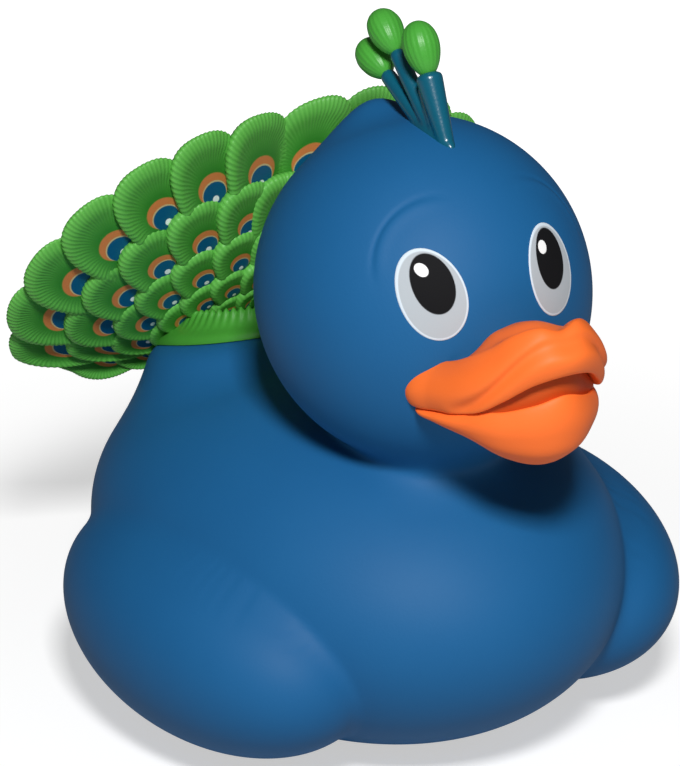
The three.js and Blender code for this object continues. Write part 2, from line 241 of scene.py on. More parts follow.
disc, into, out = group_tree(
    "painted disc",
    [("Place", "Vector", None), ("Centre", "Vector", None), ("Radii", "Vector", None),
     ("Softness", "Float", 0.05)],
    [("Mask", "Float")],
)
off = put(disc, "ShaderNodeVectorMath", {0: into["Place"], 1: into["Centre"]}, operation="SUBTRACT")
scaled = put(disc, "ShaderNodeVectorMath", {0: off.outputs[0], 1: into["Radii"]}, operation="DIVIDE")
flat_only = put(disc, "ShaderNodeVectorMath", {0: scaled.outputs[0], 1: (1, 1, 0)}, operation="MULTIPLY")
away = put(disc, "ShaderNodeVectorMath", {0: flat_only.outputs[0]}, operation="LENGTH").outputs["Value"]
edge = put(disc, "ShaderNodeMapRange", {
    "Value": away,
    "From Min": calc(disc, "SUBTRACT", 1.0, into["Softness"]),
    "From Max": calc(disc, "ADD", 1.0, into["Softness"]),
    "To Min": 1.0,
    "To Max": 0.0,
}, interpolation_type="SMOOTHSTEP")
plug(disc, edge.outputs[0], out["Mask"])
print("node groups:", [g.name for g in bpy.data.node_groups])

# %% [markdown]
# Every finish here is soft plastic, so one function makes them all, each with its own colour, roughness
# and gleam. The blue skin is nearly matt and the crest is the one glossy piece.

# %% A vinyl material
COAT_ROUGHNESS = 0.25


def vinyl(name, tone, deep, smooth, rough, grain_depth, coat=0.0, gleam=0.3, scale=60.0, painted=None):
    """Moulded vinyl: pigment drift for colour, grain for the bump and for a roughness between smooth and
    rough. painted(tree, colour) may lay paint over the pigment and give back the colour to use."""
    material = bpy.data.materials.new(name)
    material.use_nodes = True
    tree = material.node_tree
    shader = tree.nodes["Principled BSDF"]
    place = put(tree, "ShaderNodeTexCoord").outputs["Object"]
    colour = use(tree, pigment, {"Place": place, "Tone": tone, "Deep": deep, "Scale": scale})["Color"]
    surface = use(tree, grain, {"Place": place, "Smooth": smooth, "Rough": rough})
    bump = put(tree, "ShaderNodeBump", {
        "Height": surface["Height"], "Distance": grain_depth * MM, "Strength": 1.0,
    })
    if painted:
        colour = painted(tree, colour)
    plug(tree, colour, shader.inputs["Base Color"])
    plug(tree, surface["Roughness"], shader.inputs["Roughness"])
    plug(tree, bump.outputs[0], shader.inputs["Normal"])
    shader.inputs["Specular IOR Level"].default_value = gleam
    shader.inputs["Coat Weight"].default_value = coat
    shader.inputs["Coat Roughness"].default_value = COAT_ROUGHNESS
    return material


body_vinyl = vinyl("body vinyl", linear(26, 97, 150), linear(18, 84, 136), 0.55, 0.66, 0.02, gleam=0.22)
bill_paint = vinyl("bill paint", linear(255, 122, 50), linear(255, 106, 36), 0.5, 0.6, 0.015, scale=90.0)
# The mouth's orange is the bill's orange painted darker: painted shade for the hollow behind the lips.
mouth_shade_paint = vinyl("mouth paint with painted shade", linear(200, 84, 26), linear(180, 70, 18), 0.6, 0.7, 0.015, scale=90.0)
valve_plastic = vinyl("valve plastic", linear(226, 226, 220), linear(210, 210, 202), 0.35, 0.5, 0.01)
stalk_vinyl = vinyl("crest stalk vinyl", linear(10, 94, 116), linear(6, 72, 100), 0.2, 0.32, 0.03, coat=0.3,
                    gleam=0.5)
bud_vinyl = vinyl("crest bud vinyl", linear(78, 168, 62), linear(52, 138, 44), 0.3, 0.42, 0.03, scale=250.0)
print("materials:", [m.name for m in bpy.data.materials])

# %% [markdown]
# ## The body
# A blown vinyl duck is all soft bulges. It could be sculpted, or modelled as a cage under a Subdivision
# modifier, but a formula can be fitted to the photo and gives the same skin at any number of faces. Each
# bulge is an ellipsoid, known by an estimate of the distance to it, and a smooth minimum melts them
# together with a fillet of chosen width. A point is first folded to the +X side, which makes the two
# halves alike.

# %% The body as a field of distances
TORSO = dict(centre=(0, -4.2, 24.6), radii=(35, 45.9, 25.6))
HEAD = dict(centre=(0, -22.1, 68.2), radii=(22.8, 24.1, 23.9))
CROWN = dict(centre=(0, -10.1, 79.8), radii=(5.5, 5.0, 11.6))
TAIL = dict(centre=(0, 19, 40.1), radii=(17.9, 15.9, 19), pitch=-44.7)
WING = dict(centre=(24.3, -7.8, 18.2), radii=(18.9, 32, 16.3), yaw=2, pitch=-1.3, roll=-9.1)
TAIL_TOP_HEIGHT, TAIL_TOP_SLOPE = 52.6, -14
TAIL_TOP_EDGE, TRUNK_FILLET, WING_CREASE, SKULL_FILLET, BASE_EDGE = 3, 7, 1.3, 6, 1.2
NECK_FILLET, THROAT_FILLET, THROAT_FROM, THROAT_TO = 1.4, 6.5, 20, 38


def turn(yaw=0.0, pitch=0.0, roll=0.0):
    """Turns about Z, then X, then Y, in degrees, multiplied in that order."""
    angles = map(math.radians, (yaw, pitch, roll))
    (cz, sz), (cx, sx), (cy, sy) = ((math.cos(a), math.sin(a)) for a in angles)
    about_z = np.array([[cz, -sz, 0], [sz, cz, 0], [0, 0, 1]])
    about_x = np.array([[1, 0, 0], [0, cx, -sx], [0, sx, cx]])
    about_y = np.array([[cy, 0, sy], [0, 1, 0], [-sy, 0, cy]])
    return about_z @ about_x @ about_y


def ellipsoid(points, centre, radii, **turned):
    """About the distance: k (k - 1) / |q / r^2|, where q is the point as the turned ellipsoid sees it,
    r its radii, and k = |q / r|, which is 1 on the surface."""
    q = (points - np.array(centre)) @ turn(**turned)
    k = np.linalg.norm(q / radii, axis=-1)
    return k * (k - 1) / np.maximum(np.linalg.norm(q / np.square(radii), axis=-1), 1e-9)


def smooth_min(a, b, width):
    """The lesser of two distances, rounded over where they differ by less than width."""
    s = np.clip(0.5 + 0.5 * (b - a) / width, 0, 1)
    return b * (1 - s) + a * s - width * s * (1 - s)


def smooth_max(a, b, width):
    """The greater of two distances, rounded over in the same way."""
    return -smooth_min(-a, -b, width)


def body_distance(points):
    """Torso, tail stub with its sloping top, wings, head and crown melted together, and cut at the base.
    The neck's fillet is narrow behind and wide in front, where the throat runs out into the breast."""
    p = points.copy()
    p[..., 0] = np.abs(p[..., 0])
    slope = turn(pitch=TAIL_TOP_SLOPE) @ np.array([0, 0, 1])
    tail_top = (p - np.array([0, 0, TAIL_TOP_HEIGHT])) @ slope
    stub = smooth_max(ellipsoid(p, **TAIL), tail_top, TAIL_TOP_EDGE)
    trunk = smooth_min(ellipsoid(p, **TORSO), stub, TRUNK_FILLET)
    winged = smooth_min(trunk, ellipsoid(p, **WING), WING_CREASE)
    skull = smooth_min(ellipsoid(p, **HEAD), ellipsoid(p, **CROWN), SKULL_FILLET)
    fillet = NECK_FILLET + THROAT_FILLET * smoothstep(THROAT_FROM, THROAT_TO, -p[..., 1])
    return smooth_max(smooth_min(winged, skull, fillet), BASE_Z - p[..., 2], BASE_EDGE)


HALVINGS = 26


def out_to_body(start, direction, level=0.0, far=80.0):
    """Where a ray from inside the body reaches the given distance from its skin, by halving the span
    between a point inside and one beyond."""
    start, direction = np.broadcast_arrays(np.asarray(start, float), np.asarray(direction, float))
    near, beyond = np.zeros(start.shape[:-1]), np.full(start.shape[:-1], far)
    for _ in range(HALVINGS):
        middle = (near + beyond) / 2
        inside = body_distance(start + direction * middle[..., None]) < level
        near, beyond = np.where(inside, middle, near), np.where(inside, beyond, middle)
    return start + direction * near[..., None]


print("distance at the head's centre:", body_distance(np.array([HEAD["centre"]], float)))

# %% [markdown]
# The mould has a fine crease above each eye, an arc about a point near the eye that fades at both ends. A
# bump map could draw it, but it would catch no real shadow, so it is added to the skin itself, along the
# line from the head's centre.

# %% The brow crease
BROW_CENTRE = (24.5, 29.5)
BROW_RADIUS = 23.0
BROW_GROOVE, BROW_GROOVE_WIDTH = 0.2, 0.35
BROW_SWELL, BROW_SWELL_WIDTH, BROW_SWELL_INSET = 0.12, 0.9, 1.0
BROW_FADE_IN, BROW_FADE_OUT = (-16, 22), (112, 78)
HEAD_MM_PER_DEGREE = 0.41


def look(azimuth, elevation):
    """Unit vector, azimuth from straight ahead toward +X and elevation above the level."""
    a, e = np.radians(azimuth), np.radians(elevation)
    return np.stack([np.sin(a) * np.cos(e), -np.cos(a) * np.cos(e), np.sin(e)], -1)


def brow_relief(points):
    """Height in mm over the head: minus a bell curve at the arc, plus a wider one 1 mm inside it, both
    faded out toward the arc's ends. The distance from the arc is the angle to it times mm per degree."""
    ray = points - np.array(HEAD["centre"])
    ray /= np.linalg.norm(ray, axis=-1, keepdims=True)
    ray[..., 0] = np.abs(ray[..., 0])
    middle = look(*BROW_CENTRE)
    up = look(BROW_CENTRE[0], BROW_CENTRE[1] + 90)
    side = np.cross(middle, up)
    away = np.degrees(np.arccos(np.clip(ray @ middle, -1, 1)))
    round_it = np.degrees(np.arctan2(ray @ side, ray @ up))
    outward = round_it * (1 if side[0] > 0 else -1)
    fade = smoothstep(*BROW_FADE_IN, outward) * smoothstep(*BROW_FADE_OUT, outward)
    inside = (BROW_RADIUS - away) * HEAD_MM_PER_DEGREE
    groove = -BROW_GROOVE * np.exp(-((inside / BROW_GROOVE_WIDTH) ** 2))
    swell = BROW_SWELL * np.exp(-(((inside - BROW_SWELL_INSET) / BROW_SWELL_WIDTH) ** 2))
    return (groove + swell) * fade


print("relief over the right eye:", np.round(brow_relief(np.array(HEAD["centre"]) + 23 * look(-38, 50)), 2))

# %% [markdown]
# A voxel remesh of the field would blur the crease along the wing, so the body is a ball drawn out along
# rays from a point in the neck. The ball's axis leans so that its lower pole comes out at the squeaker
# valve. There the last rows leave the rays and become circles that step up into the valve's socket. The
# upper pole hides in the head's round top, and columns crowd toward the breast, where the camera looks.

# %% The body's skin
NECK = np.array([0, -11, 47.5])
ROWS, COLUMNS = 262, 360
FRONT_CROWDING = 0.35
LAST_RAY_OUT, LAST_RAY_DOWN = 9.0, 49.0
SOCKET_PROFILE = [[7.0, 0.8], [6.5, 0.8], [6.36, 0.84], [6.3, 0.95], [6.3, 2.5], [6.25, 2.6], [4.9, 2.6],
                  [4.8, 2.7], [4.8, 6.3], [4.7, 6.4], [2.0, 6.4], [0.0, 6.4]]
lean = math.atan2(VALVE_Y - NECK[1], NECK[2] - BASE_Z)
down_to = math.pi - math.atan2(LAST_RAY_OUT, LAST_RAY_DOWN)
polar = np.linspace(0, down_to, ROWS)[:, None]
s = np.linspace(0, 2 * math.pi, COLUMNS, endpoint=False)
round_z = (s - FRONT_CROWDING * np.sin(s))[None, :]
rays = np.stack([
    np.sin(polar) * np.sin(round_z), -np.sin(polar) * np.cos(round_z), np.cos(polar) + 0 * round_z,
], -1)
rays = rays @ turn(pitch=math.degrees(lean)).T
body_grid = out_to_body(NECK, rays)
from_head = body_grid - np.array(HEAD["centre"])
from_head /= np.linalg.norm(from_head, axis=-1, keepdims=True)
body_grid += from_head * brow_relief(body_grid)[..., None]
socket = np.array(SOCKET_PROFILE)
ring = np.stack([np.sin(round_z[0]), -np.cos(round_z[0])], -1)
socket_grid = np.empty((len(socket), COLUMNS, 3))
socket_grid[..., :2] = socket[:, None, :1] * ring + np.array([0, VALVE_Y])
socket_grid[..., 2] = socket[:, None, 1]
body_grid = np.concatenate([body_grid, socket_grid])
settle(skin("body_skin", body_grid[None], body_vinyl), "body_vinyl", "duck_body")

# %% [markdown]
# ## The bill
# The bill is part of the same moulding, painted orange. Seen from above, both halves follow one outline
# about an upright axis inside the face. The upper half is a scoop that rises to a rolled lip with two low
# lobes in front, and the lower half is a spoon. A Screw modifier turns one fixed profile, so the turning
# is done here, with radii and heights that change with the angle from straight ahead.

# %% Profiles and heights for the bill
BILL_AXIS_Y = -42.0
BILL_RADIUS = [[0, 17.8], [30, 15.7], [60, 13.7], [80, 13.2], [97, 14], [108, 13], [125, 8.5], [150, 5.5],
               [180, 5]]
RIDGE = [[0, 72.4], [34, 71.2], [51, 70.1], [66, 68.2], [80, 66.9], [97, 66.2], [120, 65.8]]
LIP_TOP = [[0, 74.0], [12, 74.6], [25, 73.4], [40, 71.0], [65, 68.2], [85, 66.9], [97, 66.5],
           [120, 66.2]]
LIP_BOTTOM = [[0, 68.4], [15, 67.4], [30, 64.8], [45, 62.5], [60, 61.4], [75, 60.9], [90, 60.4],
              [120, 60.2]]
LOWER_RIM = [[0, 65.2], [15, 64.0], [30, 62.8], [45, 62.2], [60, 61.4], [75, 60.8], [90, 60.3],
             [120, 60.2]]
LOWER_KEEL = [[0, 53.6], [30, 54.6], [60, 56.8], [80, 57.8], [95, 58.4], [108, 59.0], [120, 59.2]]
LOWER_SETBACK = [[0, 1.2], [50, 1.2], [75, 0.6], [90, 0.9], [105, 2.2], [120, 2.4]]


def cubic(t, a, b, slope_a, slope_b):
    """From a to b as t goes from 0 to 1, with given slopes at the ends."""
    ends = a * (1 + 2 * t) * (1 - t) ** 2 + b * t * t * (3 - 2 * t)
    return ends + slope_a * t * (1 - t) ** 2 - slope_b * t * t * (1 - t)


def smooth_through(at, values, x):
    """A cubic through given values, with each slope taken from the neighbours on both sides."""
    at, values = np.asarray(at, float), np.asarray(values, float)
    slope = np.zeros_like(values)
    slope[1:-1] = (values[2:] - values[:-2]) / (at[2:] - at[:-2])
    i = np.clip(np.searchsorted(at, x) - 1, 0, len(at) - 2)
    width = at[i + 1] - at[i]
    t = np.clip((x - at[i]) / width, 0, 1)
    return cubic(t, values[i], values[i + 1], slope[i] * width, slope[i + 1] * width)


def off_front(angle):
    """Degrees from straight ahead, alike on both sides."""
    return np.abs(np.degrees(np.arctan2(np.sin(angle), np.cos(angle))))


def along_stations(stations, angle):
    """A radius or height at an angle, from the cubic through its stations of (degrees off front, value)."""
    at, values = zip(*stations)
    return smooth_through(at, values, np.minimum(off_front(angle), at[-1]))


print("bill's reach straight ahead in mm:", along_stations(BILL_RADIUS, np.array(0.0)))

# %% [markdown]
# A section of the bill is a handful of knots with a smooth curve through them. A curve object could hold
# one section. Here every column of the ball has its own, so the curves for all columns are drawn in one
# go.

# %% From knots to a ball about the bill's axis
def smooth_profiles(points, steps):
    """points is (columns, knots, 2). Between each pair of knots a cubic with steps parts, whose slopes come
    from the neighbouring knots over the distance between them."""
    lengths = np.linalg.norm(np.diff(points, axis=1), axis=-1)
    at = np.concatenate([np.zeros((len(points), 1)), np.cumsum(np.maximum(lengths, 1e-6), axis=1)], axis=1)
    slope = np.empty_like(points)
    slope[:, 1:-1] = (points[:, 2:] - points[:, :-2]) / (at[:, 2:] - at[:, :-2])[..., None]
    slope[:, 0] = (points[:, 1] - points[:, 0]) / (at[:, 1] - at[:, 0])[..., None]
    slope[:, -1] = (points[:, -1] - points[:, -2]) / (at[:, -1] - at[:, -2])[..., None]
    t = (np.arange(steps) / steps)[None, None, :, None]
    width = (at[:, 1:] - at[:, :-1])[..., None, None]
    a, b = points[:, :-1, None], points[:, 1:, None]
    curve = cubic(t, a, b, slope[:, :-1, None] * width, slope[:, 1:, None] * width)
    curve = curve.reshape(len(points), -1, 2)
    return np.concatenate([curve, points[:, -1:]], axis=1)


def revolved(columns, profile_at, steps=7):
    """A closed ball whose section at each angle about the bill's axis is profile_at(angle): (radius, z)."""
    angle = np.linspace(0, 2 * math.pi, columns, endpoint=False)
    section = smooth_profiles(np.stack([np.stack(k, -1) for k in profile_at(angle)], 1), steps)
    radius, height = section[..., 0].T, section[..., 1].T
    return np.stack([np.sin(angle) * radius, BILL_AXIS_Y - np.cos(angle) * radius, height], -1)


print("points through 4 knots:", smooth_profiles(np.eye(4, 2)[None], 7).shape[1])

# %% [markdown]
# The upper half's roll is fat in front and folds down to the corners, where it closes on the lower half.
# Its section goes by twelve knots from the axis over the ridge and the rim and back under the roll.

# %% The upper half's section
def set_back(radius, distance, least_share):
    """A distance in from the outside, but no nearer the axis than a share of the radius."""
    return np.maximum(radius - distance, radius * least_share)


def upper_profile(angle):
    """Ridge, shallow valley, rim with its lobes, fat roll, and back under the roll."""
    r, ridge = along_stations(BILL_RADIUS, angle), along_stations(RIDGE, angle)
    top, low = along_stations(LIP_TOP, angle), along_stations(LIP_BOTTOM, angle)
    h = top - low
    return [
        (0 * r, 0 * r + 69.5),
        (r * 0.36, ridge),
        (set_back(r, 6.4, 0.5), ridge + 0.25 * (top - ridge) - 0.3),
        (set_back(r, 4.3, 0.6), top - 0.45),
        (set_back(r, 3.2, 0.7), top),
        (set_back(r, 2.0, 0.8), top - 0.1 * h),
        (r - 0.7, top - 0.3 * h),
        (r, top - 0.58 * h),
        (r - 0.35, low + 0.14 * h),
        (r - 1.2, low),
        (set_back(r, 3.5, 0.4), low + 1.2),
        (0 * r, 0 * r + 67),
    ]


print("knots in the upper half:", len(upper_profile(np.array(0.0))))

# %% [markdown]
# The lower half is a spoon with a rounded rim. The opening shows a shadowed orange hollow. A Boolean could
# cut it into the head and would leave a ragged edge, so a lining stands behind the lips and fills the
# mouth.

# %% The lower half's and the mouth's sections
def lower_profile(angle):
    """Hollow, rounded rim, full side and keel."""
    r = along_stations(BILL_RADIUS, angle) - along_stations(LOWER_SETBACK, angle)
    rim, keel = along_stations(LOWER_RIM, angle), along_stations(LOWER_KEEL, angle)
    return [
        (0 * r, 0 * r + 62),
        (r * 0.6, rim - 1.6),
        (set_back(r, 1.8, 0.7), rim - 0.5),
        (set_back(r, 0.8, 0.85), rim),
        (r, rim - 0.22 * (rim - keel)),
        (r - 0.2, rim - 0.45 * (rim - keel)),
        (set_back(r, 1.6, 0.75), keel + 0.25 * (rim - keel)),
        (r * 0.62, keel),
        (0 * r, 0 * r + 55.5),
    ]


def mouth_profile(angle):
    """A plug between the halves, 3.4 mm behind the lips in front. Toward the corners it comes out to 2.1 mm
    behind them and gets thinner, and past the corners it draws in under the halves."""
    away = off_front(angle)
    corner = smoothstep(20, 46, away)
    r = along_stations(BILL_RADIUS, angle) - 3.4 + 1.3 * corner - 4.5 * smoothstep(60, 76, away)
    r = np.maximum(r, 0.5)
    high = along_stations(LIP_BOTTOM, angle) + 2.5 - 1.9 * corner
    low = along_stations(LOWER_RIM, angle) - 3 + 2.4 * corner
    edge = 0.2 * (high - low)
    return [(0 * r, high), (r * 0.8, high), (r, high - edge), (r, low + edge), (r * 0.8, low), (0 * r, low)]


print("knots in the lower half:", len(lower_profile(np.array(0.0))))

# %% [markdown]
# Under the rim a soft band is pressed into the side. It moves finished points, so the section needs no
# more knots. The halves are separate skins, which keeps the crease between them sharp.

# %% The band, and the bill's three skins
BAND_DEPTH, BAND_WIDTH = 0.9, 0.15


def under_rim(grid):
    """Presses a soft band into the side of the upper half: a bell curve in the share of the height, about a
    line that goes from a quarter of the way down in front to nearly all of it where the mouth closes."""
    out = grid[..., :2] - np.array([0, BILL_AXIS_Y])
    radius = np.linalg.norm(out, axis=-1)
    angle = np.arctan2(out[..., 0], -out[..., 1])
    away = off_front(angle)
    r, top, low = (along_stations(s, angle) for s in (BILL_RADIUS, LIP_TOP, LIP_BOTTOM))
    down = (top - grid[..., 2]) / (top - low)
    band = np.exp(-(((down - 0.26 - 0.62 * smoothstep(0, 62, away)) / BAND_WIDTH) ** 2))
    depth = BAND_DEPTH * band * smoothstep(r - 3.6, r - 2.2, radius) * smoothstep(68, 50, away)
    pressed = grid.copy()
    pressed[..., :2] -= out / np.maximum(radius, 1e-6)[..., None] * depth[..., None]
    return pressed


upper_half = under_rim(revolved(240, upper_profile, 9))
for name, grid, paint in (
    ("bill_upper", upper_half, bill_paint),
    ("bill_lower", revolved(160, lower_profile), bill_paint),
    # The lining takes the darker orange, which is painted shade in the mouth.
    ("mouth_lining", revolved(160, mouth_profile), mouth_shade_paint),
):
    settle(skin(name, grid[None], paint), "bill_paint", "duck_body")

# %% [markdown]
# ## The eyes
# Each eye is printed on the head: a pale oval with a thin bright rim, a dark pupil set high in it and a
# round white glint. A picture texture would blur close up, so the discs are formulas. The print is a skin
# 0.08 mm proud of the head, and its own attribute tells each point's place in the oval, from -1 to 1.

# %% Eye prints
EYE_HALF_WIDTH, EYE_HALF_HEIGHT = 4.0, 5.7
EYE_ROWS, EYE_COLUMNS = 26, 120
PRINT_THICKNESS, PRINT_BURIED = 0.08, -0.1
EYES = [(-10.5, 75.9), (7.0, 76.5)]


def paint_disc(tree, place, centre, radii, softness, below, above, within=None):
    """Lays the colour above over the one below inside a soft oval, which may be kept within another mask.
    Gives back the colour and the oval's mask."""
    values = {"Place": place, "Centre": (*centre, 0), "Radii": (*radii, 1), "Softness": softness}
    mask = use(tree, disc, values)["Mask"]
    if within is not None:
        mask = calc(tree, "MULTIPLY", mask, within)
    return blend(tree, mask, below, above), mask


def eye_paint(tree, colour):
    """Grey oval, bright rim, pupil and glint."""
    place = put(tree, "ShaderNodeAttribute", attribute_name="pattern").outputs["Vector"]
    colour, _ = paint_disc(tree, place, (0, 0), (0.94, 0.955), 0.02, linear(214, 226, 236), colour)
    colour, _ = paint_disc(tree, place, (0.04, 0.26), (0.63, 0.655), 0.025, colour, linear(24, 24, 26))
    colour, _ = paint_disc(tree, place, (-0.2, 0.57), (0.19, 0.142), 0.06, colour, linear(250, 250, 250))
    return colour


eye_print = vinyl("eye print", linear(182, 190, 196), linear(168, 172, 178), 0.6, 0.7, 0.008, gleam=0.06,
                  painted=eye_paint)
t = np.concatenate([np.linspace(0, 1, EYE_ROWS), [1.01, 1.0, 0.5, 0.0]])[:, None]
level = np.concatenate([np.full(EYE_ROWS, PRINT_THICKNESS), [0.0], np.full(3, PRINT_BURIED)])[:, None]
round_eye = np.linspace(0, 2 * math.pi, EYE_COLUMNS, endpoint=False)[None, :]
u, v = t * np.sin(round_eye), t * np.cos(round_eye)
eye_grids, eye_patterns = [], []
for x, z in EYES:
    start = np.stack([x + u * EYE_HALF_WIDTH, np.full_like(u, -25.0), z + v * EYE_HALF_HEIGHT], -1)
    eye_grids.append(out_to_body(start, (0, -1, 0), level + 0 * u, far=25.0))
    eye_patterns.append(np.stack([u, v, 0 * u], -1))
settle(skin("eye_prints", np.array(eye_grids), eye_print, np.array(eye_patterns)), "eye_print")

# %% [markdown]
# ## The fan
# The fan is one green moulding, curved both ways. A flat fan could be bent by a lattice, which would
# stretch the feathers. Here the sheet is known by two numbers, the angle from straight up and the reach
# from the root to the rim, and everything on it is placed by angle, reach and a lift off the sheet. It
# leans over the back and curls away again toward the rim.

# %% The fan's sheet
FAN_ROOT = np.array([0, 30, 47.8])
FAN_LEAN = -45.8
FAN_REACH, FAN_SIDE_LOSS, FAN_SHOULDER_GAIN = 35.4, 9.9, 10.7
FAN_CURL, FAN_CURL_LOSS = 15.2, 10.9
FAN_END_PINCH = 0.16
SHOULDER_SWAY = np.array([1.9, -3.2, 1.55])
LEFT_RISE = 2.0


def fan_front(angle, reach):
    """Reach times a radius that is less at the sides, times sine and cosine of the angle. The curl back
    grows with the square of the reach. Then come the lean and the root. The soft fan has set a little out
    of true: its shoulders sway out, forward and up, and its left half stands up to 2 mm higher."""
    a = np.radians(angle)
    side = 1 - np.cos(a)
    pinch = 1 - FAN_END_PINCH * smoothstep(98, 114, np.abs(angle))
    radius = (FAN_REACH - FAN_SIDE_LOSS * side + FAN_SHOULDER_GAIN * np.sin(a) ** 2) * pinch
    curl = (FAN_CURL - FAN_CURL_LOSS * side) * reach**2
    sheet = np.stack([-reach * radius * np.sin(a), curl, reach * radius * np.cos(a)], -1)
    place = sheet @ turn(pitch=-FAN_LEAN).T + FAN_ROOT
    x = place[..., 0]
    shoulder = np.clip(np.sin(np.radians(np.clip(np.abs(angle), 0, 100) * 1.8)), 0, 1) * reach**2
    sway = np.stack([np.sign(x), 1 + 0 * x, 1 + 0 * x], -1) * SHOULDER_SWAY * shoulder[..., None]
    sway[..., 2] += LEFT_RISE * smoothstep(-2, 14, x) * reach**2
    return place + sway


def fan_point(angle, reach, lift):
    """The sheet's point moved by the lift along its normal: the step along the reach crossed with the step
    in angle, which looks to the front."""
    across = fan_front(angle + 1, reach) - fan_front(angle - 1, reach)
    along = fan_front(angle, reach + 0.01) - fan_front(angle, reach - 0.01)
    normal = np.cross(along, across)
    normal /= np.linalg.norm(normal, axis=-1, keepdims=True)
    return fan_front(angle, reach) + normal * np.asarray(lift)[..., None]


print("rim of the fan straight up:", np.round(fan_front(np.array(0.0), np.array(1.0)), 1))

# %% [markdown]
# A feather is a dished oval. Fine ribs run from the smooth hollow in its middle to a rolled rim, where
# they notch the outline. One feather could be modelled and copied, but a copy keeps its own bend, so each
# is worked out on the sheet under it. Each feather nearer the middle lies over its outer neighbour: a
# small tilt lifts its outer side, and its inner side drops away under the next.

# %% One feather
ROW_SIZES = ("tip", "length", "half_width", "lift", "first", "step", "count", "middle", "ribs")
FEATHER_ROWS = [dict(zip(ROW_SIZES, row)) for row in (
    (1.0, 0.44, 5.3, 0.6, 7.5, 15.07, 8, False, 66),
    (0.77, 0.36, 4.5, 1.4, 13.1, 17.5, 7, True, 52),
    (0.58, 0.28, 3.7, 2.1, 19.2, 19.3, 6, True, 42),
    (0.42, 0.22, 2.9, 2.7, 7.2, 20.1, 6, False, 34),
    (0.29, 0.17, 2.3, 3.2, 13.0, 24.0, 5, True, 26),
)]
FEATHER_THICKNESS, FEATHER_BACK, FEATHER_DISH, FEATHER_LEAST = 1.5, -0.5, 0.8, 0.3
FEATHER_TUCK, INNER_PRESS, ROOT_PRESS = 0.14, 0.2, 0.26
RIB_HEIGHT, RIB_NOTCH = 0.17, 0.022
RIM_ROLL, RIM_AT, RIM_WIDTH = 0.4, 0.84, 0.13
SQUARENESS = 2.5
FULL_WIDTH = 6


def feather(row, angle):
    """A ball whose rows go from the middle of the face (rho = 0) over the rim (rho = 1) to the middle of
    the back. Seen from the front it is a squarish oval: sine and cosine over the 2.5-norm of the two. The
    face's height is a dish that grows with rho squared, a rolled rim, a tilt, and ribs that ride on it. The
    paint's pattern goes on outward round the back, so no eyespot shows there."""
    face_rows, back_rows = np.linspace(0, math.pi / 2, 16), np.linspace(math.pi / 2, math.pi, 6)[1:]
    theta = np.concatenate([face_rows, back_rows])[:, None]
    around = np.linspace(0, 2 * math.pi, row["ribs"] * 4, endpoint=False)[None, :]
    rho = np.sin(theta) + 0 * around
    belly = np.sign(np.cos(theta)) * np.sqrt(np.abs(np.cos(theta)))
    size = row["half_width"] / FULL_WIDTH
    rib = np.abs(np.sin(around * row["ribs"] / 2 + 0.4))
    ribbed = smoothstep(0.42, 0.8, rho)
    norm = (np.abs(np.sin(around)) ** SQUARENESS + np.abs(np.cos(around)) ** SQUARENESS) ** (1 / SQUARENESS)
    outline = (1 + RIB_NOTCH * (rib - 0.6) * smoothstep(0.85, 1, rho)) / norm
    across, along = rho * np.sin(around) * outline, rho * np.cos(around) * outline
    middle = row["tip"] - row["length"] / 2
    reach = middle + along * row["length"] / 2
    width_angle = math.degrees(row["half_width"] / (FAN_REACH * middle))
    spread = across * (1 + 0.25 * along) * middle / reach
    outward = across * np.sign(angle)
    pressed = INNER_PRESS * smoothstep(0.2, 1, -outward) + ROOT_PRESS * smoothstep(0.1, 0.9, -along)
    tilt = row["half_width"] * (FEATHER_TUCK * outward - pressed)
    dish = FEATHER_DISH * (rho**2 - 0.5)
    roll = RIM_ROLL * size * np.exp(-(((rho - RIM_AT) / RIM_WIDTH) ** 2))
    ribs = RIB_HEIGHT * size * (rib - 0.6) * ribbed
    half = FEATHER_THICKNESS / 2
    face = np.maximum(row["lift"] + dish + roll + tilt + ribs, FEATHER_BACK - half + FEATHER_LEAST)
    lift = FEATHER_BACK + (face + half - FEATHER_BACK) * (1 + belly) / 2
    beyond = np.where(theta > math.pi / 2 + 1e-6, (2 - rho) / np.maximum(rho, 1e-6), 1.0)
    tall = row["length"] * FAN_REACH / 2 / row["half_width"]
    # The pattern's third value is the height on the ribs and toward the rim. The paint uses it for painted
    # highlight.
    pattern = np.stack([across * beyond, along * tall * beyond, 0.35 * (rib - 0.5) * ribbed + rho], -1)
    pattern[-1, :, :2] = 3.0
    return fan_point(angle + width_angle * spread, reach, lift), pattern


def feather_angles(row):
    """Even steps out from the first on both sides, and one straight up where the row has a middle."""
    side = row["first"] + row["step"] * np.arange(row["count"])
    return np.concatenate([-side[::-1], [0.0] * row["middle"], side])


print("feathers in each row:", [len(feather_angles(row)) for row in FEATHER_ROWS])

# %% [markdown]
# Each feather has a printed eyespot. Its rim and ribs are painted paler than its hollow: painted highlight
# on the raised parts and painted shade in the hollow. A picture would need the feather unwrapped. The paint
# reads the pattern kept on the feather's points, which follows every bend.

